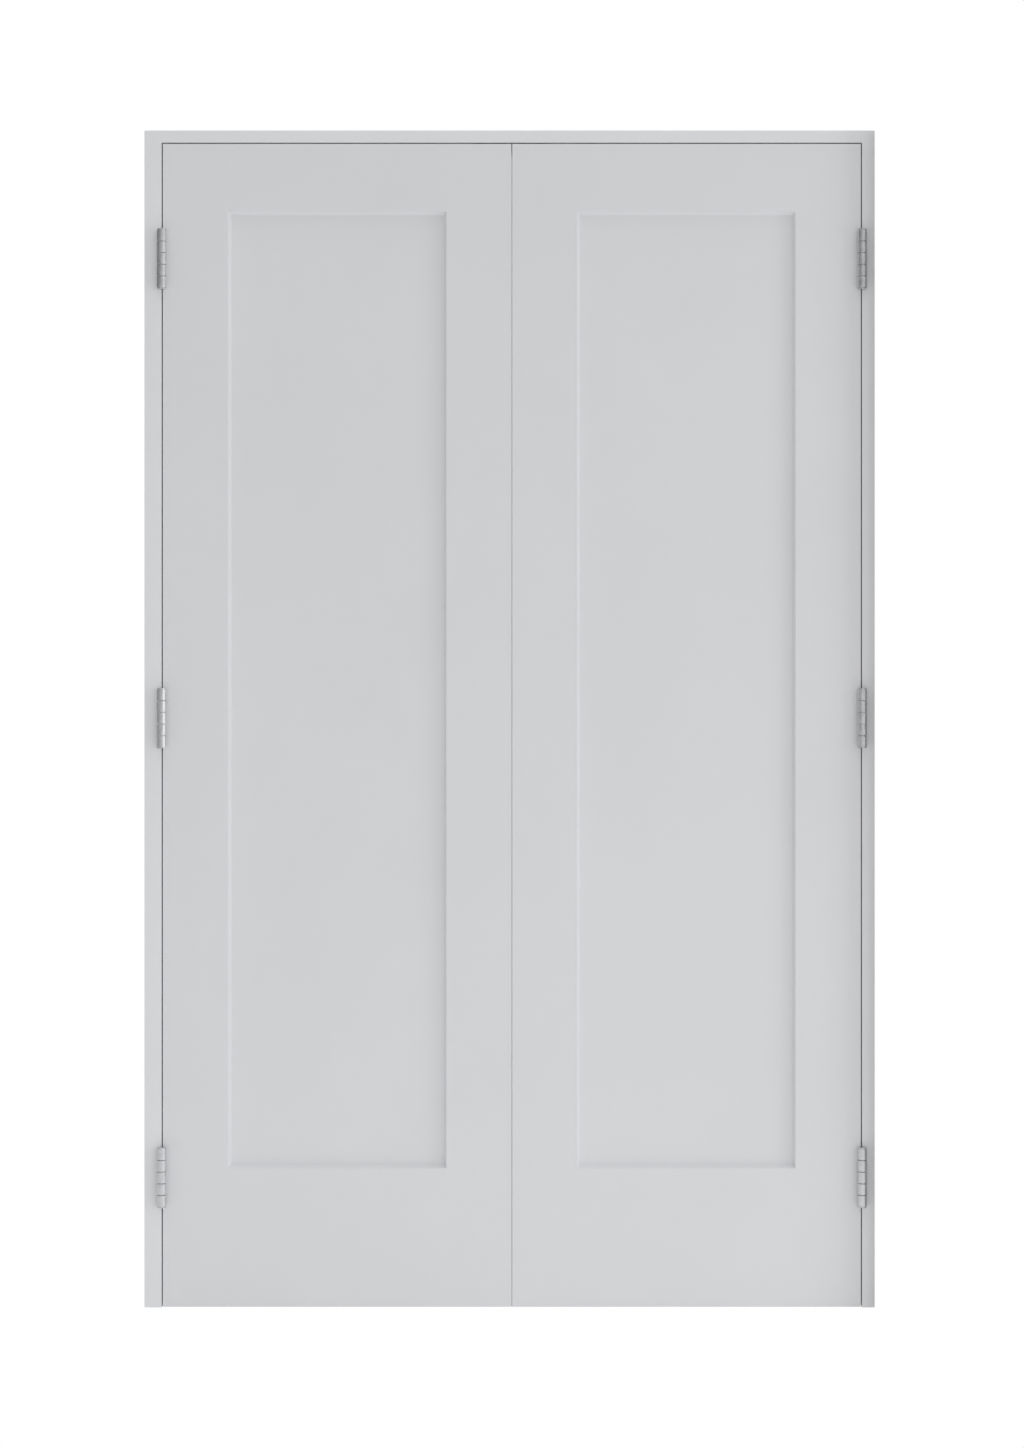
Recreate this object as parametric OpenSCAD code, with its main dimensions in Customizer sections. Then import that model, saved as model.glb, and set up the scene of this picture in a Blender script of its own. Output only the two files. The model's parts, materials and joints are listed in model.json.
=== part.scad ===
// Prehung interior double doors: two panelled doors hung in a three-sided wooden frame.
// The doors open towards -Y. The frame stands on its two feet at z = 0, and the origin is at the
// middle of the whole unit's footprint.

/* [Doors] */
// Width of each door
door_w = 609.6; // [500:0.1:900]
// Height of each door
door_h = 2032; // [1900:1:2400]
// Thickness of each door
door_t = 35; // [35:1:45]
// Width of the upright stiles
stile_w = 114; // [90:1:140]
// Height of the top rail
top_rail_h = 118; // [100:1:160]
// Height of the bottom rail
bottom_rail_h = 242; // [200:1:300]
// Thickness of the flat panel
panel_t = 12; // [9:1:14]
// Width of the slope that runs round the panel on both faces
panel_slope_w = 4.5; // [1:0.5:8]
// How far the panel runs into its groove
panel_lip = 10; // [8:1:12]
// How far the back of the meeting edge is cut away, so that the doors clear each other
edge_bevel = 2; // [1.5:0.1:3]
// How far the front corner of the meeting edge is eased back
front_ease_w = 0.8; // [0.5:0.1:1.5]
// How deep that easing runs into the edge
front_ease_l = 5; // [3:0.5:6]

/* [Frame] */
// Depth of the frame through the wall
jamb_depth = 116; // [100:1:170]
// Thickness of the left jamb
left_jamb_t = 30; // [22:1:36]
// Thickness of the right jamb
right_jamb_t = 22; // [22:1:36]
// Thickness of the head jamb
head_t = 21; // [20:1:36]
// Depth of the notch in each side jamb that takes the end of the head jamb
notch_d = 8; // [5:1:10]
// Thickness of the door stops
stop_t = 11; // [9:1:13]
// Width of the door stops
stop_w = 32; // [28:1:40]

/* [Gaps] */
// Gap between each door and its jamb
side_gap = 2.1; // [1.6:0.1:3]
// Gap between the two doors, where they come closest
meeting_gap = 0.5; // [0.5:0.1:3]
// Gap between the doors and the head jamb
head_gap = 2.4; // [2:0.1:3.5]
// Gap below the doors
floor_gap = 1; // [1:1:12]
// Gap between the back of the doors and the stops
stop_gap = 1.5; // [1:0.1:3]

/* [Hinges] */
// Height of the hinge plates
hinge_h = 101.6; // [89:0.1:114]
// Diameter of the hinge barrel
barrel_d = 16.5; // [15:0.1:17]
// Diameter of the hinge pin
pin_d = 8; // [6:0.1:9]
// How far the pin stands in front of the doors
pin_offset = 9; // [9:0.1:12]
// Thickness of the hinge plates
plate_t = 3; // [2.5:0.1:3.5]
// How far the plates run back into the edges of the wood
plate_depth = 29; // [26:1:31]
// From the top of the door down to the middle of the upper hinge
upper_hinge_drop = 203; // [150:1:260]
// From the bottom of the door up to the middle of the lower hinge
lower_hinge_rise = 228; // [180:1:300]

/* [Catches] */
// From the meeting edge of the door to the middle of the catch
catch_inset = 38; // [34:1:40]
// Diameter of the catch's ball
ball_d = 12; // [12:0.5:13]
// How far the ball stands out of the top of the door
ball_rise = 4.2; // [4:0.1:4.5]
// Length of the catch's housing
housing_l = 34; // [30:1:40]

/* [Hidden] */
$fn = 48;
SIDES = ["left", "right"];
LEVELS = ["lower", "middle", "upper"];
DOOR_PIECES = [
    "hinge_stile", "meeting_stile", "top_rail", "bottom_rail", "panel", "dowels",
    "hinge_screws", "catch_housing", "catch_spring", "catch_ball"
];
FRAME_PIECES = ["jamb", "stop", "strike"];
HINGE_PIECES = ["jamb_plate", "door_plate", "pin"];

// Colours
paint = [0.81, 0.82, 0.83];
bare_wood = [0.80, 0.68, 0.50];
nickel = [0.64, 0.64, 0.65];
steel = [0.75, 0.75, 0.77];
brass = [0.78, 0.66, 0.38];

// Clearances, and how far a cut runs past a face
fit = 0.05;
past = 1;

// The frame, measured from the plane where the doors meet
opening_half = meeting_gap / 2 + door_w + side_gap;
meeting_x = (left_jamb_t - right_jamb_t) / 2;
hinge_reach = pin_offset + barrel_d / 2;
face_y = (hinge_reach - jamb_depth) / 2;
stop_y = face_y + door_t + stop_gap;
door_top = floor_gap + door_h;
head_z = door_top + head_gap;
frame_top = head_z + head_t;
side_stop_h = head_z - stop_t;

// The left door, in the same plane
door_x0 = -meeting_gap / 2 - door_w;
door_x1 = -meeting_gap / 2;
door_mid_y = face_y + door_t / 2;
rail_x0 = door_x0 + stile_w;
rail_l = door_w - 2 * stile_w;
top_rail_z = door_top - top_rail_h;
bottom_rail_top = floor_gap + bottom_rail_h;
panel_play = 0.5;

// Dowels that join the rails to the stiles
dowel_d = 12;
dowel_l = 80;
dowel_spread = 60;
dowel_z = [
    floor_gap + bottom_rail_h / 2 - dowel_spread,
    floor_gap + bottom_rail_h / 2,
    floor_gap + bottom_rail_h / 2 + dowel_spread,
    top_rail_z + top_rail_h / 2 - dowel_spread / 2,
    top_rail_z + top_rail_h / 2 + dowel_spread / 2
];

// Hinges
axis_x = door_x0 - side_gap / 2;
axis_y = face_y - pin_offset;
knuckle_count = 5;
knuckle_h = hinge_h / knuckle_count;
knuckle_gap = 0.7;
knuckle_ease = 0.5;
knuckle_clearance = 0.35;
jamb_knuckles = [0, 2, 4];
door_knuckles = [1, 3];
plate_corner_r = 6;
plate_fit = 0.1;
pin_head_step = 0.65;
pin_head_d = barrel_d - 2 * pin_head_step;
pin_head_h = 1.5;
lower_hinge_z = floor_gap + lower_hinge_rise;
upper_hinge_z = door_top - upper_hinge_drop;
hinge_z = [lower_hinge_z, (lower_hinge_z + upper_hinge_z) / 2, upper_hinge_z];

// Countersunk screws: the spots on a hinge plate are [behind the face, above the hinge's middle]
screw_head_r = 4.2;
screw_head_h = 2.4;
screw_r = 2;
screw_tip_r = 0.3;
screw_tip_l = 4;
slot_w = 1;
slot_l = 4.8;
slot_d = 1.6;
hinge_screw_spots = [[20, -38], [10, -13], [10, 13], [20, 38]];
door_screw_l = 28;
jamb_screw_l = 19;
corner_screw_l = 50;
corner_screw_spots = [jamb_depth / 6, jamb_depth / 2, 5 * jamb_depth / 6];
strike_screw_l = 16;

// Brads that hold the stops
brad_r = 0.8;
brad_head_r = 1.2;
brad_head_h = 0.8;
brad_l = 26;
side_brads = 5;
head_brads = 4;
brad_y = stop_y + stop_w / 2;

// Ball catches
catch_x = door_x1 - catch_inset;
ball_z = door_top + ball_rise - ball_d / 2;
ball_play = 0.1;
housing_r = 9;
flange_r = 12.5;
flange_t = 1.5;
housing_floor_t = 2;
housing_z = door_top - housing_l;
spring_wire_r = 0.5;
spring_r = 4.2;
spring_turns = 6;
spring_steps = 14;
spring_sides = 6;
spring_gap = 0.1;
spring_z0 = housing_z + housing_floor_t + spring_wire_r + spring_gap;
spring_z1 = ball_z - sqrt(pow(ball_d / 2 + spring_wire_r + spring_gap, 2) - pow(spring_r, 2));
strike_l = 57;
strike_w = 25;
strike_t = 2;
strike_corner_r = 4;
strike_hole_r = 5;
strike_pocket_r = 7;
strike_pocket_h = 8;
strike_screw_x = 21;
corner_steps = 6;

function jamb_t(side) = side == "left" ? left_jamb_t : right_jamb_t;

// Points of a quarter circle, starting at an angle
function corner(x, y, r, from) = [
    for (i = [0:corner_steps])
        let (turn = from + 90 * i / corner_steps)
        [x + r * cos(turn), y + r * sin(turn)]
];

// Outline of a hinge plate: square at the barrel, with round corners at the back
function plate_outline(y0, y1, z0, z1, r) = concat(
    [[y0, z0]],
    corner(y1 - r, z0 + r, r, -90),
    corner(y1 - r, z1 - r, r, 0),
    [[y0, z1]]
);

// Outline of a plate with four round corners, centred on the origin
function round_outline(l, w, r) = concat(
    corner(l / 2 - r, w / 2 - r, r, 0),
    corner(r - l / 2, w / 2 - r, r, 90),
    corner(r - l / 2, r - w / 2, r, 180),
    corner(l / 2 - r, r - w / 2, r, 270)
);

// Everything for one side is drawn for the left, and mirrored for the right
module place(side) {
    translate([meeting_x, 0, 0])
        if (side == "left") children();
        else mirror([1, 0, 0]) children();
}

// ---- fasteners ----

// A countersunk screw along +X, with its head's face at the origin
module screw(length) {
    rotate([0, 90, 0])
        difference() {
            screw_body(length, 0);
            for (turn = [0, 90])
                rotate(turn)
                    translate([-slot_l / 2, -slot_w / 2, -past])
                        cube([slot_l, slot_w, past + slot_d]);
        }
}

module screw_hole(length) {
    rotate([0, 90, 0]) {
        screw_body(length, fit);
        translate([0, 0, -past])
            cylinder(r = screw_head_r + fit, h = past + fit);
    }
}

module screw_body(length, extra) {
    cylinder(r1 = screw_head_r + extra, r2 = screw_r + extra, h = screw_head_h);
    cylinder(r = screw_r + extra, h = length - screw_tip_l);
    translate([0, 0, length - screw_tip_l])
        cylinder(r1 = screw_r + extra, r2 = screw_tip_r + extra, h = screw_tip_l + extra);
}

// A brad along +Z, with its head's face at the origin
module brad(extra) {
    cylinder(r = brad_r + extra, h = brad_l + extra);
    translate([0, 0, extra > 0 ? -past : 0])
        cylinder(r = brad_head_r + extra, h = brad_head_h + extra + (extra > 0 ? past : 0));
}

module at_side_brads() {
    for (i = [0:side_brads - 1])
        translate([stop_t - opening_half, brad_y, side_stop_h * (i + 0.5) / side_brads])
            rotate([0, -90, 0])
                children();
}

module at_head_brads() {
    for (i = [0:head_brads - 1])
        translate([meeting_x + opening_half * (2 * i + 1 - head_brads) / head_brads, brad_y, side_stop_h])
            children();
}

module at_corner_screws(side) {
    for (y = corner_screw_spots)
        translate([-opening_half - jamb_t(side), face_y + y, head_z + head_t / 2])
            children();
}

module at_strike_screws() {
    for (x = [-strike_screw_x, strike_screw_x])
        translate([catch_x + x, door_mid_y, head_z])
            rotate([0, -90, 0])
                children();
}

// ---- hinges, each drawn with its pin on the z axis and its lower end at z = 0 ----

module at_hinge(i) {
    translate([axis_x, axis_y, hinge_z[i] - hinge_h / 2])
        children();
}

// Knuckles of the barrel, with eased ends
module knuckles(numbers) {
    r = barrel_d / 2;
    h = knuckle_h - knuckle_gap;
    for (i = numbers)
        translate([0, 0, i * knuckle_h + knuckle_gap / 2]) {
            cylinder(r1 = r - knuckle_ease, r2 = r, h = knuckle_ease);
            translate([0, 0, knuckle_ease])
                cylinder(r = r, h = h - 2 * knuckle_ease);
            translate([0, 0, h - knuckle_ease])
                cylinder(r1 = r, r2 = r - knuckle_ease, h = knuckle_ease);
        }
}

// The room that the other plate's knuckles turn in
module knuckle_room(numbers) {
    for (i = numbers)
        translate([0, 0, i * knuckle_h - knuckle_gap / 2])
            cylinder(r = barrel_d / 2 + knuckle_clearance, h = knuckle_h + knuckle_gap);
}

// The flat of the door's plate, or the mortise that takes it when extra is over 0
module plate_flat(y0, extra, open) {
    translate([side_gap / 2 - open, 0, 0])
        rotate([90, 0, 90])
            linear_extrude(plate_t + open)
                polygon(plate_outline(
                    y0, pin_offset + plate_depth + extra, -extra, hinge_h + extra, plate_corner_r + extra
                ));
}

module at_plate_screws() {
    for (spot = hinge_screw_spots)
        translate([side_gap / 2, pin_offset + spot[0], hinge_h / 2 + spot[1]])
            children();
}

module hinge_plate(own, other, screw_l) {
    difference() {
        union() {
            plate_flat(0, 0, 0);
            knuckles(own);
        }
        knuckle_room(other);
        translate([0, 0, -past])
            cylinder(d = pin_d + 2 * fit, h = hinge_h + 2 * past);
        at_plate_screws() screw_hole(screw_l);
    }
}

// What a hinge plate takes out of the edge of the wood
module hinge_cut(screw_l) {
    plate_flat(pin_offset - past, plate_fit, past);
    at_plate_screws() screw_hole(screw_l);
}

module door_plate(side, level) {
    color(nickel)
        place(side)
            at_hinge(level)
                hinge_plate(door_knuckles, jamb_knuckles, door_screw_l);
}

module jamb_plate(side, level) {
    color(nickel)
        place(side)
            at_hinge(level)
                mirror([1, 0, 0])
                    hinge_plate(jamb_knuckles, door_knuckles, jamb_screw_l);
}

module hinge_pin(side, level) {
    color(nickel)
        place(side)
            at_hinge(level) {
                translate([0, 0, -pin_head_h / 2])
                    cylinder(d = pin_d, h = hinge_h + pin_head_h);
                for (z = [-pin_head_h, hinge_h])
                    translate([0, 0, z])
                        cylinder(d = pin_head_d, h = pin_head_h);
            }
}

module door_hinge_screws(side) {
    color(nickel)
        place(side)
            for (level = [0:len(LEVELS) - 1])
                at_hinge(level)
                    at_plate_screws() screw(door_screw_l);
}

module jamb_hinge_screws() {
    color(nickel)
        for (side = SIDES)
            place(side)
                for (level = [0:len(LEVELS) - 1])
                    at_hinge(level)
                        mirror([1, 0, 0])
                            at_plate_screws() screw(jamb_screw_l);
}

// ---- frame ----

module side_jamb(side) {
    color(paint)
        place(side)
            difference() {
                translate([-opening_half - jamb_t(side), face_y, 0])
                    cube([jamb_t(side), jamb_depth, frame_top]);
                translate([-opening_half - notch_d, face_y - past, head_z])
                    cube([notch_d + past, jamb_depth + 2 * past, head_t + past]);
                for (level = [0:len(LEVELS) - 1])
                    at_hinge(level)
                        mirror([1, 0, 0])
                            hinge_cut(jamb_screw_l);
                at_corner_screws(side) screw_hole(corner_screw_l);
                at_side_brads() brad(fit);
            }
}

module head_jamb() {
    color(paint)
        difference() {
            translate([meeting_x - opening_half - notch_d, face_y, head_z])
                cube([2 * (opening_half + notch_d), jamb_depth, head_t]);
            for (side = SIDES)
                place(side) {
                    at_corner_screws(side) screw_hole(corner_screw_l);
                    at_strike_screws() screw_hole(strike_screw_l);
                    translate([catch_x, door_mid_y, head_z - past])
                        linear_extrude(strike_t + past)
                            polygon(round_outline(strike_l, strike_w, strike_corner_r));
                    translate([catch_x, door_mid_y, head_z])
                        cylinder(r = strike_pocket_r, h = strike_pocket_h);
                }
            at_head_brads() brad(fit);
        }
}

module side_stop(side) {
    color(paint)
        place(side)
            difference() {
                translate([-opening_half, stop_y, 0])
                    cube([stop_t, stop_w, side_stop_h]);
                at_side_brads() brad(fit);
            }
}

module head_stop() {
    color(paint)
        difference() {
            translate([meeting_x - opening_half, stop_y, side_stop_h])
                cube([2 * opening_half, stop_w, stop_t]);
            at_head_brads() brad(fit);
        }
}

module corner_screws() {
    color(steel)
        for (side = SIDES)
            place(side)
                at_corner_screws(side) screw(corner_screw_l);
}

module stop_brads() {
    color(steel) {
        for (side = SIDES)
            place(side)
                at_side_brads() brad(0);
        at_head_brads() brad(0);
    }
}

module strike(side) {
    color(nickel)
        place(side)
            difference() {
                translate([catch_x, door_mid_y, head_z])
                    linear_extrude(strike_t)
                        polygon(round_outline(strike_l - plate_fit, strike_w - plate_fit, strike_corner_r));
                translate([catch_x, door_mid_y, head_z - past])
                    cylinder(r = strike_hole_r, h = strike_t + 2 * past);
                at_strike_screws() screw_hole(strike_screw_l);
            }
}

module strike_screws() {
    color(nickel)
        for (side = SIDES)
            place(side)
                at_strike_screws() screw(strike_screw_l);
}

// ---- doors ----

// The panel, or the space that its grooves leave for it
module panel_shape(play) {
    translate([rail_x0 - panel_lip + play, door_mid_y - panel_t / 2, bottom_rail_top - panel_lip + play])
        cube([
            rail_l + 2 * (panel_lip - play),
            panel_t,
            top_rail_z - bottom_rail_top + 2 * (panel_lip - play)
        ]);
}

// The slopes beside the panel up one stile, from the stile's edge inward
module stile_slopes(x, inward) {
    for (face = [-1, 1])
        translate([x, door_mid_y, bottom_rail_top])
            linear_extrude(top_rail_z - bottom_rail_top)
                polygon([
                    [-inward * past, face * door_t / 2],
                    [0, face * door_t / 2],
                    [inward * panel_slope_w, face * panel_t / 2],
                    [-inward * past, face * panel_t / 2]
                ]);
}

// The slopes along one rail, up or down from the rail's edge
module rail_slopes(z, up) {
    for (face = [-1, 1])
        translate([rail_x0, door_mid_y, z])
            rotate([90, 0, 90])
                linear_extrude(rail_l)
                    polygon([
                        [face * door_t / 2, -up * past],
                        [face * door_t / 2, 0],
                        [face * panel_t / 2, up * panel_slope_w],
                        [face * panel_t / 2, -up * past]
                    ]);
}

module dowel_set(extra) {
    for (x = [rail_x0, rail_x0 + rail_l])
        for (z = dowel_z)
            translate([x, door_mid_y, z])
                rotate([0, 90, 0])
                    cylinder(r = dowel_d / 2 + extra, h = dowel_l + 2 * extra, center = true);
}

module hinge_stile(side) {
    color(paint)
        place(side)
            difference() {
                union() {
                    translate([door_x0, face_y, floor_gap])
                        cube([stile_w, door_t, door_h]);
                    stile_slopes(rail_x0, 1);
                }
                panel_shape(0);
                dowel_set(fit);
                for (level = [0:len(LEVELS) - 1])
                    at_hinge(level)
                        hinge_cut(door_screw_l);
            }
}

module meeting_stile(side) {
    color(paint)
        place(side)
            difference() {
                union() {
                    translate([0, 0, floor_gap])
                        linear_extrude(door_h)
                            polygon([
                                [door_x1 - stile_w, face_y],
                                [door_x1 - front_ease_w, face_y],
                                [door_x1, face_y + front_ease_l],
                                [door_x1 - edge_bevel, face_y + door_t],
                                [door_x1 - stile_w, face_y + door_t]
                            ]);
                    stile_slopes(rail_x0 + rail_l, -1);
                }
                panel_shape(0);
                dowel_set(fit);
                translate([catch_x, door_mid_y, housing_z])
                    cylinder(r = housing_r + fit, h = housing_l + past);
                translate([catch_x, door_mid_y, door_top - flange_t])
                    cylinder(r = flange_r + fit, h = flange_t + past);
            }
}

// A rail: its slopes run along the edge at slope_z and are coped over those of the stiles
module rail(side, z, height, slope_z, up) {
    color(paint)
        place(side)
            difference() {
                union() {
                    translate([rail_x0, face_y, z])
                        cube([rail_l, door_t, height]);
                    rail_slopes(slope_z, up);
                }
                stile_slopes(rail_x0, 1);
                stile_slopes(rail_x0 + rail_l, -1);
                panel_shape(0);
                dowel_set(fit);
            }
}

module panel(side) {
    color(paint)
        place(side)
            panel_shape(panel_play);
}

module dowels(side) {
    color(bare_wood)
        place(side)
            dowel_set(0);
}

// ---- ball catches ----

module catch_housing(side) {
    color(brass)
        place(side)
            translate([catch_x, door_mid_y, housing_z])
                difference() {
                    union() {
                        cylinder(r = housing_r, h = housing_l);
                        translate([0, 0, housing_l - flange_t])
                            cylinder(r = flange_r, h = flange_t);
                    }
                    translate([0, 0, housing_floor_t])
                        cylinder(r = ball_d / 2 + ball_play, h = ball_z - housing_z - housing_floor_t);
                    translate([0, 0, ball_z - housing_z])
                        sphere(r = ball_d / 2 + ball_play);
                }
}

module catch_ball(side) {
    color(steel)
        place(side)
            translate([catch_x, door_mid_y, ball_z])
                sphere(d = ball_d);
}

// A round wire wound on a cylinder, with flat ends
module catch_spring(side) {
    rings = spring_turns * spring_steps;
    rise = spring_z1 - spring_z0;
    points = [
        for (i = [0:rings]) for (j = [0:spring_sides - 1])
            let (
                along = 360 * i / spring_steps,
                around = 360 * j / spring_sides,
                r = spring_r + spring_wire_r * cos(around)
            )
            [r * cos(along), r * sin(along), rise * i / rings + spring_wire_r * sin(around)]
    ];
    sides = [
        for (i = [0:rings - 1]) for (j = [0:spring_sides - 1])
            let (
                a = i * spring_sides + j,
                b = i * spring_sides + (j + 1) % spring_sides
            )
            [a, b, b + spring_sides, a + spring_sides]
    ];
    first = [for (j = [0:spring_sides - 1]) spring_sides - 1 - j];
    last = [for (j = [0:spring_sides - 1]) rings * spring_sides + j];
    color(steel)
        place(side)
            translate([catch_x, door_mid_y, spring_z0])
                polyhedron(points = points, faces = concat(sides, [first, last]));
}

head_jamb();
head_stop();
jamb_hinge_screws();
corner_screws();
strike_screws();
stop_brads();
for (side = SIDES) {
    side_jamb(side);
    side_stop(side);
    strike(side);
    hinge_stile(side);
    meeting_stile(side);
    rail(side, top_rail_z, top_rail_h, top_rail_z, -1);
    rail(side, floor_gap, bottom_rail_h, bottom_rail_top, 1);
    panel(side);
    dowels(side);
    door_hinge_screws(side);
    catch_housing(side);
    catch_spring(side);
    catch_ball(side);
}
for (side = SIDES) for (i = [0:len(LEVELS) - 1]) {
    jamb_plate(side, i);
    door_plate(side, i);
    hinge_pin(side, i);
}
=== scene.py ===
"""Looks for the prehung interior double doors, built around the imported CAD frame."""

import json
import math

import bpy
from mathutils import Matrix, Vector


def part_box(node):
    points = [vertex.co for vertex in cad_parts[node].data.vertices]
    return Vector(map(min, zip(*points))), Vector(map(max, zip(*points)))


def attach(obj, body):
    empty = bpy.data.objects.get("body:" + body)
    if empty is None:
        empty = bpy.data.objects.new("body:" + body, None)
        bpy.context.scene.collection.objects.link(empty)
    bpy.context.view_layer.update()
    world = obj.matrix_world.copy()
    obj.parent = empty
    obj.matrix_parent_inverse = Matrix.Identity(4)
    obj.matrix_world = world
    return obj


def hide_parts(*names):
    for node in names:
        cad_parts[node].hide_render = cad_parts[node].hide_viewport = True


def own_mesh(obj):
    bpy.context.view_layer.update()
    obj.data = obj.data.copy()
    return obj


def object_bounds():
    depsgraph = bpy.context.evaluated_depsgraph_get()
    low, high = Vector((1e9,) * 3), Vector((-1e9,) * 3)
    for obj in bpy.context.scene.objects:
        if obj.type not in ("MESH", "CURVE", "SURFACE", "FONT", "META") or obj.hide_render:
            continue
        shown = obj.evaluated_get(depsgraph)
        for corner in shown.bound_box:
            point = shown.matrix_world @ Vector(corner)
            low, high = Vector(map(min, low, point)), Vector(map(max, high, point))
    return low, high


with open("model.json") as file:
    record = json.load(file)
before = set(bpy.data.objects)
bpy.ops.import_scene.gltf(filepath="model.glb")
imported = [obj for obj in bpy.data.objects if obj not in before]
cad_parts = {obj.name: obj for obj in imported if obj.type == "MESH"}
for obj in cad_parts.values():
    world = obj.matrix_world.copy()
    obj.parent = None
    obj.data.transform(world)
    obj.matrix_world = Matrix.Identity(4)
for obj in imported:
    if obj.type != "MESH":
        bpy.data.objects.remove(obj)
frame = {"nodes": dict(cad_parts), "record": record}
cad_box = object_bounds()

# ---------------------------------------------------------------- node helpers


def new_material(name, base, roughness, metallic=0.0):
    """A material with its shader's plain sockets set, and the parts that build its node tree."""
    material = bpy.data.materials.new(name)
    material.use_nodes = True
    tree = material.node_tree
    shader = tree.nodes["Principled BSDF"]
    shader.inputs["Base Color"].default_value = (*base, 1.0)
    shader.inputs["Roughness"].default_value = roughness
    shader.inputs["Metallic"].default_value = metallic
    material.diffuse_color = (*base, 1.0)
    return material, tree, shader


def object_space(tree, stretch=(1.0, 1.0, 1.0)):
    """Places on the object in metres, stretched for textures that run one way."""
    coordinates = tree.nodes.new("ShaderNodeTexCoord")
    mapping = tree.nodes.new("ShaderNodeMapping")
    mapping.inputs["Scale"].default_value = stretch
    tree.links.new(coordinates.outputs["Object"], mapping.inputs["Vector"])
    return mapping.outputs["Vector"]


def noise(tree, place, scale, detail=2.0, roughness=0.5, distortion=0.0):
    """Soft noise between 0 and 1, with features about 1 / scale metres across."""
    texture = tree.nodes.new("ShaderNodeTexNoise")
    texture.inputs["Scale"].default_value = scale
    texture.inputs["Detail"].default_value = detail
    texture.inputs["Roughness"].default_value = roughness
    texture.inputs["Distortion"].default_value = distortion
    tree.links.new(place, texture.inputs["Vector"])
    return texture.outputs["Fac"]


def ramp(tree, value, stops):
    """Colours along a value: stops are (position, (r, g, b))."""
    node = tree.nodes.new("ShaderNodeValToRGB")
    elements = node.color_ramp.elements
    while len(elements) < len(stops):
        elements.new(0.5)
    for element, (position, colour) in zip(elements, stops):
        element.position = position
        element.color = (*colour, 1.0)
    tree.links.new(value, node.inputs["Fac"])
    return node.outputs["Color"]


# Nearly all of a noise texture's values lie between these
NOISE_RANGE = (0.3, 0.7)


def spread(tree, value, low, high, source=NOISE_RANGE):
    """The value moved from the source range to low..high."""
    node = tree.nodes.new("ShaderNodeMapRange")
    node.inputs["From Min"].default_value = source[0]
    node.inputs["From Max"].default_value = source[1]
    node.inputs["To Min"].default_value = low
    node.inputs["To Max"].default_value = high
    tree.links.new(value, node.inputs["Value"])
    return node.outputs["Result"]


def two_tone(tree, value, low, high):
    """A noise value as a colour between low and high."""
    return ramp(tree, value, list(zip(NOISE_RANGE, (low, high))))


def scaled(colour, factor):
    """The colour times a factor, at most white."""
    return [min(1.0, factor * c) for c in colour]


def powered(tree, value, exponent):
    """The value raised to a power."""
    node = tree.nodes.new("ShaderNodeMath")
    node.operation = "POWER"
    node.inputs[1].default_value = exponent
    tree.links.new(value, node.inputs[0])
    return node.outputs["Value"]


def bump(tree, height, depth, under=None):
    """Relief of that depth in metres, over any relief under it."""
    node = tree.nodes.new("ShaderNodeBump")
    node.inputs["Strength"].default_value = 1.0
    node.inputs["Distance"].default_value = depth
    tree.links.new(height, node.inputs["Height"])
    if under is not None:
        tree.links.new(under, node.inputs["Normal"])
    return node.outputs["Normal"]


# ------------------------------------------------------------------ materials

PAINT_BASE = (0.833, 0.840, 0.857)
# Painted light: the jambs and the head get the door paint made this much lighter, so they read brighter
# than the doors
JAMB_PAINTED_LIGHT = 1.06
NICKEL_BASE = (0.70, 0.705, 0.715)
ZINC_BASE = (0.56, 0.58, 0.60)
BRASS_BASE = (0.78, 0.58, 0.30)
BEECH_DARK = (0.50, 0.34, 0.20)
BEECH_LIGHT = (0.67, 0.50, 0.33)
WAVE_DEPTH = 0.00010
STIPPLE_DEPTH = 0.00006
BRUSH_DEPTH = 0.000012
FIBRE_DEPTH = 0.00006
BRUSH_STRETCH = (1.0, 1.0, 0.03)
GRAIN_STRETCH = (1.0, 1.0, 0.06)
FIBRE_STRETCH = (1.0, 1.0, 0.02)


def paint(name, tint=1.0):
    """White satin enamel: roller stipple, slow unevenness of the film, sheen that varies a little."""
    # A tint above 1 gives a lighter copy of the same paint, which is painted light
    base = scaled(PAINT_BASE, tint)
    material, tree, shader = new_material(name, base, roughness=0.42)
    place = object_space(tree)
    cloud = noise(tree, place, scale=3.5, detail=3.0)
    film = two_tone(tree, cloud, scaled(base, 0.985), scaled(base, 1.010))
    tree.links.new(film, shader.inputs["Base Color"])
    patches = noise(tree, place, scale=22.0, detail=4.0)
    tree.links.new(spread(tree, patches, 0.37, 0.47), shader.inputs["Roughness"])
    waves = bump(tree, noise(tree, place, scale=45.0), WAVE_DEPTH)
    dimples = noise(tree, place, scale=850.0, roughness=0.6)
    tree.links.new(bump(tree, dimples, STIPPLE_DEPTH, under=waves), shader.inputs["Normal"])
    return material


def metal(name, base, roughness):
    """Brushed and lacquered plate metal: fine lines up the piece and faint handling marks."""
    material, tree, shader = new_material(name, base, roughness, metallic=1.0)
    lines = noise(tree, object_space(tree, BRUSH_STRETCH), scale=2600.0, detail=3.0, roughness=0.65)
    marks = noise(tree, object_space(tree), scale=160.0, detail=4.0, roughness=0.6)
    plate = two_tone(tree, marks, scaled(base, 0.90), scaled(base, 1.06))
    tree.links.new(plate, shader.inputs["Base Color"])
    sheen = spread(tree, marks, roughness - 0.05, roughness + 0.07)
    tree.links.new(sheen, shader.inputs["Roughness"])
    tree.links.new(bump(tree, lines, BRUSH_DEPTH), shader.inputs["Normal"])
    shader.inputs["Anisotropic"].default_value = 0.35
    return material


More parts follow.
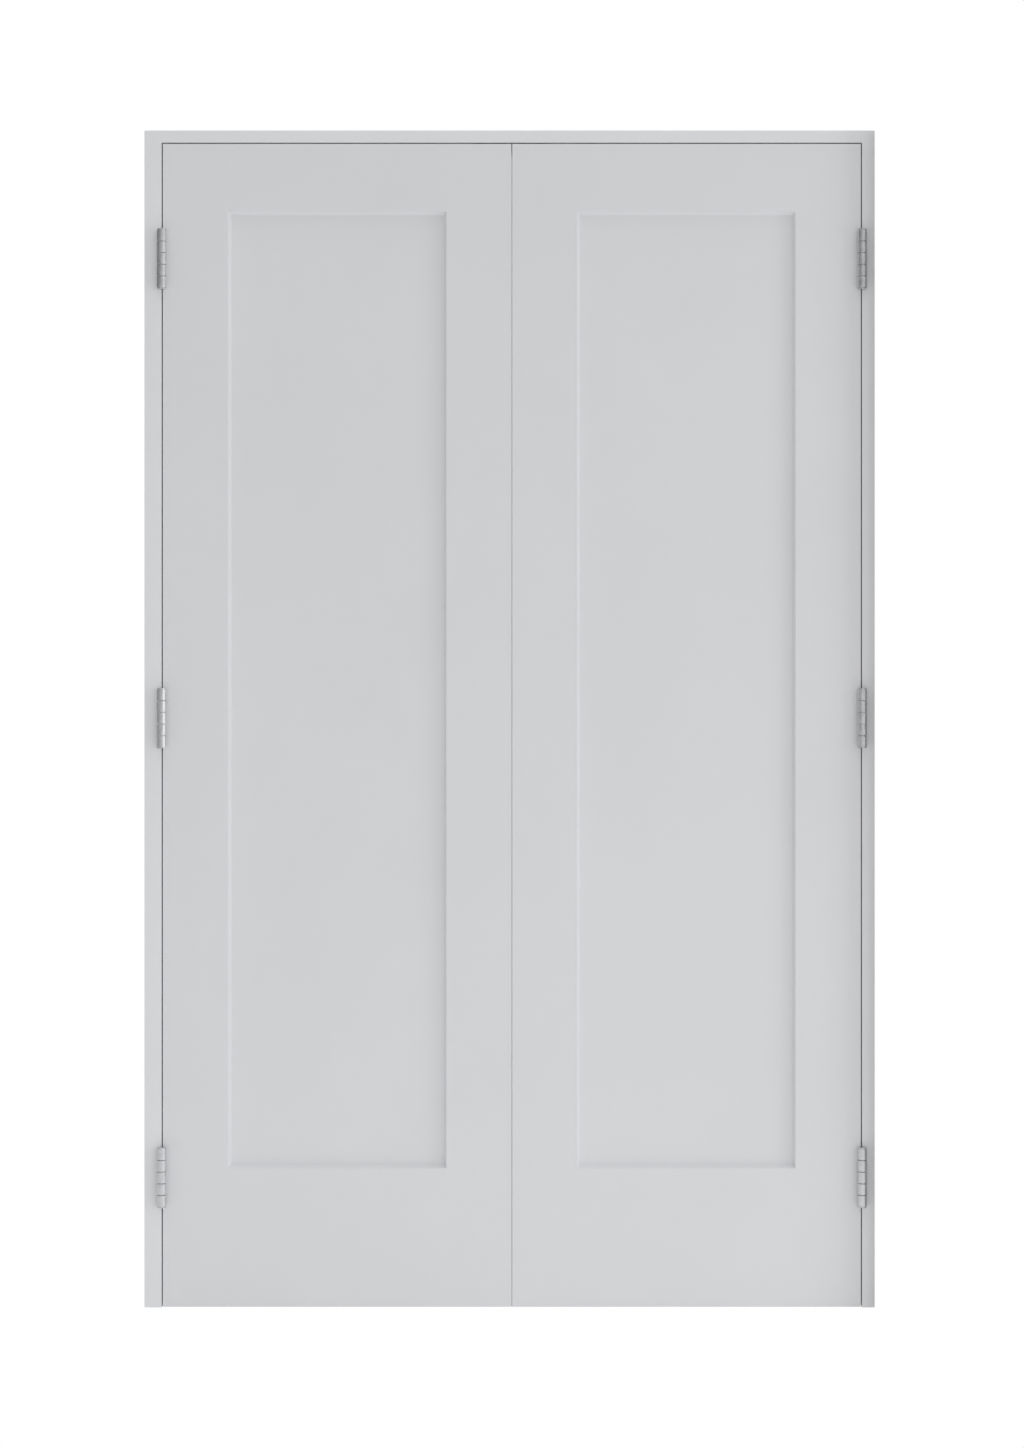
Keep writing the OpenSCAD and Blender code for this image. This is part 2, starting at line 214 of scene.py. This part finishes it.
def wood(name, dark, light):
    """Planed bare wood with the grain up the piece."""
    material, tree, shader = new_material(name, light, roughness=0.62)
    grain_place = object_space(tree, GRAIN_STRETCH)
    rings = noise(tree, grain_place, scale=70.0, detail=5.0, roughness=0.6, distortion=0.8)
    fibres = noise(tree, object_space(tree, FIBRE_STRETCH), scale=1500.0)
    middle = [0.5 * (a + b) for a, b in zip(dark, light)]
    stops = [(0.30, light), (0.52, middle), (0.62, dark), (0.75, light)]
    tree.links.new(ramp(tree, rings, stops), shader.inputs["Base Color"])
    tree.links.new(spread(tree, fibres, 0.55, 0.70), shader.inputs["Roughness"])
    tree.links.new(bump(tree, fibres, FIBRE_DEPTH), shader.inputs["Normal"])
    return material


MATERIALS = {
    "painted_wood": paint("satin_white_paint"),
    # Painted light: a lighter copy of the same white paint, for the jambs and the head
    "jamb_painted_light": paint("satin_paint_lit_copy", JAMB_PAINTED_LIGHT),
    "satin_nickel": metal("satin_nickel_plate", NICKEL_BASE, roughness=0.36),
    "zinc_steel": metal("zinc_plated_steel", ZINC_BASE, roughness=0.36),
    "brass": metal("yellow_brass", BRASS_BASE, roughness=0.30),
    "bare_wood": wood("planed_beech", BEECH_DARK, BEECH_LIGHT),
}

# The record's slot gives each CAD node its material; the jambs and the head get a lighter copy of the
# same white paint, which is painted light
slot_of = {part["node"]: part["material_slot"] for part in frame["record"]["subparts"]}
slot_of.update({name: "jamb_painted_light" for name in ("left_jamb", "right_jamb", "head_jamb")})
for node_name, node in frame["nodes"].items():
    node.data.materials.clear()
    node.data.materials.append(MATERIALS[slot_of[node_name]])

# --------------------------------------------------------------------- springs


def mesh_object(name, points, faces, material):
    """A mesh object in the row frame from its points and faces."""
    data = bpy.data.meshes.new(name)
    data.from_pydata(points, [], faces)
    data.materials.append(material)
    made = bpy.data.objects.new(name, data)
    bpy.context.collection.objects.link(made)
    return made


WIRE_R = 0.0005
SPRING_TURNS = 6
STEPS_PER_TURN = 28
WIRE_SIDES = 10


def catch_spring(side):
    """The spring under a catch's ball: a round wire coil that rides with its door in place of the CAD
    spring.
    """
    low, high = (Vector(corner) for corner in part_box(f"{side}_catch_spring"))
    middle = (low + high) / 2
    coil_r = (high.x - low.x) / 2 - WIRE_R
    rise = high.z - low.z - 2 * WIRE_R
    last = SPRING_TURNS * STEPS_PER_TURN
    points = []
    for i in range(last + 1):
        along = math.tau * i / STEPS_PER_TURN
        for j in range(WIRE_SIDES):
            around = math.tau * j / WIRE_SIDES
            r = coil_r + WIRE_R * math.cos(around)
            z = low.z + WIRE_R + rise * i / last + WIRE_R * math.sin(around)
            points.append((middle.x + r * math.cos(along), middle.y + r * math.sin(along), z))
    faces = []
    for i in range(last):
        for j in range(WIRE_SIDES):
            a = i * WIRE_SIDES + j
            b = i * WIRE_SIDES + (j + 1) % WIRE_SIDES
            faces.append((a, b, b + WIRE_SIDES, a + WIRE_SIDES))
    faces.append(tuple(reversed(range(WIRE_SIDES))))
    faces.append(tuple(last * WIRE_SIDES + j for j in range(WIRE_SIDES)))
    coil = mesh_object(f"{side}_catch_coil", points, faces, MATERIALS["zinc_steel"])
    coil.data.shade_smooth()
    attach(coil, f"{side}_door")
    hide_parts(f"{side}_catch_spring")
    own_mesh(coil)


for side in ("left", "right"):
    catch_spring(side)

# ---------------------------------------------------------------------- studio

# The plane of the doors' faces, and the point on it that the camera and the lights aim at
FACE_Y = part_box("left_jamb")[0][1]
MIDDLE = (0.0043, FACE_Y, 1.0194)

# What the camera sees as the background, and what lights the object
WHITE = 1.0
SKY_LIGHT = 0.106
SKY_RIGHT = 0.43
SKY_FRONT = 0.186
SKY_ZENITH = 0.94
FLOOR_GLOW = 0.143
FLOOR_POOL = 0.18
FRONT_POWER = 2.4
SIDE_POWER = 39.0
REAR_POWER = 9.0

# The floor, just under the feet, and the pool of stronger glow in front of the doors
HALF_FLOOR = 30.0
FLOOR_Z = -0.0005
POOL_SHIFT = (0.0, 0.45, 0.0)
POOL_SCALE = (0.5, 0.6, 0.6)

# A grey strip that stands forward beside the right jamb
FLAG_X = cad_box[1][0] + 0.004
FLAG_Y = FACE_Y - 0.030
FLAG_TOP = cad_box[1][2]


def camera_switch(tree, for_object, for_camera, output):
    """Sends one shader to the camera's own rays and another to all the rest."""
    seen = tree.nodes.new("ShaderNodeLightPath")
    either = tree.nodes.new("ShaderNodeMixShader")
    tree.links.new(seen.outputs["Is Camera Ray"], either.inputs[0])
    tree.links.new(for_object, either.inputs[1])
    tree.links.new(for_camera, either.inputs[2])
    tree.links.new(either.outputs["Shader"], output.inputs["Surface"])


def floor_material():
    """Pale studio floor, lit from within for the camera so that it runs into the white behind."""
    material, tree, shader = new_material("pale_floor", (0.80, 0.80, 0.80), roughness=0.75)
    cloud = noise(tree, object_space(tree), scale=0.8, detail=3.0)
    tint = two_tone(tree, cloud, (0.79, 0.79, 0.79), (0.81, 0.81, 0.81))
    tree.links.new(tint, shader.inputs["Base Color"])
    shader.inputs["Specular IOR Level"].default_value = 0.1
    shader.inputs["Emission Color"].default_value = (1.0, 1.0, 1.0, 1.0)
    pool = tree.nodes.new("ShaderNodeTexGradient")
    pool.gradient_type = "SPHERICAL"
    centre = tree.nodes.new("ShaderNodeMapping")
    centre.inputs["Location"].default_value = POOL_SHIFT
    centre.inputs["Scale"].default_value = POOL_SCALE
    tree.links.new(object_space(tree), centre.inputs["Vector"])
    tree.links.new(centre.outputs["Vector"], pool.inputs["Vector"])
    lift = spread(tree, pool.outputs["Fac"], FLOOR_GLOW, FLOOR_GLOW + FLOOR_POOL, source=(0.0, 1.0))
    tree.links.new(lift, shader.inputs["Emission Strength"])
    glow = tree.nodes.new("ShaderNodeEmission")
    glow.inputs["Strength"].default_value = WHITE
    output = tree.nodes["Material Output"]
    camera_switch(tree, shader.outputs["BSDF"], glow.outputs["Emission"], output)
    return material


def build_sky():
    """A soft sky, brighter to the right, in front and overhead, that the camera sees as plain white."""
    world = bpy.data.worlds.new("studio_world")
    world.use_nodes = True
    bpy.context.scene.world = world
    sky = world.node_tree
    background = sky.nodes["Background"]
    background.inputs["Color"].default_value = (1.0, 1.0, 1.0, 1.0)
    white = sky.nodes.new("ShaderNodeBackground")
    white.inputs["Color"].default_value = (1.0, 1.0, 1.0, 1.0)
    white.inputs["Strength"].default_value = WHITE
    direction = sky.nodes.new("ShaderNodeTexCoord")
    axes = sky.nodes.new("ShaderNodeSeparateXYZ")
    sky.links.new(direction.outputs["Generated"], axes.inputs["Vector"])
    strength = None
    for axis, source, power, amount in [
        ("X", (-1.0, 1.0), 2.0, SKY_RIGHT),
        ("Y", (1.0, -1.0), 4.0, SKY_FRONT),
        ("Z", (0.0, 1.0), 2.0, SKY_ZENITH),
    ]:
        share = powered(sky, spread(sky, axes.outputs[axis], 0.0, 1.0, source=source), power)
        part = spread(sky, share, 0.0, amount, source=(0.0, 1.0))
        both = sky.nodes.new("ShaderNodeMath")
        both.inputs[0].default_value = SKY_LIGHT
        if strength is not None:
            sky.links.new(strength, both.inputs[0])
        sky.links.new(part, both.inputs[1])
        strength = both.outputs["Value"]
    sky.links.new(strength, background.inputs["Strength"])
    output = sky.nodes["World Output"]
    camera_switch(sky, background.outputs["Background"], white.outputs["Background"], output)


def softbox(name, place, size, power):
    """A rectangular studio light, aimed at the doors, that the camera doesn't see."""
    data = bpy.data.lights.new(name, "AREA")
    data.shape = "RECTANGLE"
    data.size, data.size_y = size
    data.energy = power
    made = bpy.data.objects.new(name, data)
    made.location = place
    aim = Vector(MIDDLE) - Vector(place)
    made.rotation_euler = aim.to_track_quat("-Z", "Y").to_euler()
    made.visible_camera = False
    bpy.context.collection.objects.link(made)


floor_corners = [(-1, -1), (1, -1), (1, 1), (-1, 1)]
floor = mesh_object(
    "studio_floor",
    [(x * HALF_FLOOR, y * HALF_FLOOR, FLOOR_Z) for x, y in floor_corners],
    [(0, 1, 2, 3)],
    floor_material(),
)
flag_corners = [(FACE_Y, 0.0), (FLAG_Y, 0.0), (FLAG_Y, FLAG_TOP), (FACE_Y, FLAG_TOP)]
flag = mesh_object(
    "right_flag",
    [(FLAG_X, y, z) for y, z in flag_corners],
    [(0, 1, 2, 3)],
    new_material("grey_flag", (0.50, 0.50, 0.50), roughness=0.9)[0],
)
flag.visible_camera = False

build_sky()
softbox("front_right_box", (1.05, FACE_Y - 3.0, 1.3), size=(0.25, 2.4), power=FRONT_POWER)
softbox("side_box", (4.7, FACE_Y - 1.7, 1.0), size=(1.6, 3.4), power=SIDE_POWER)
softbox("rear_box", (0.6, 3.2, 1.6), size=(2.0, 2.4), power=REAR_POWER)

# ---------------------------------------------------------------------- camera

# The camera looks square at the doors; the view height is what it takes in at their faces
CAMERA_DISTANCE = 4.2
VIEW_HEIGHT = 2.5301
SENSOR = 36.0
camera_data = bpy.data.cameras.new("camera")
camera_data.sensor_fit = "VERTICAL"
camera_data.sensor_height = SENSOR
camera_data.lens = SENSOR * CAMERA_DISTANCE / VIEW_HEIGHT
camera = bpy.data.objects.new("camera", camera_data)
camera.location = (MIDDLE[0], FACE_Y - CAMERA_DISTANCE, MIDDLE[2])
camera.rotation_euler = (math.pi / 2, 0.0, 0.0)
bpy.context.collection.objects.link(camera)
bpy.context.scene.camera = camera
bpy.context.scene.view_settings.view_transform = "Standard"
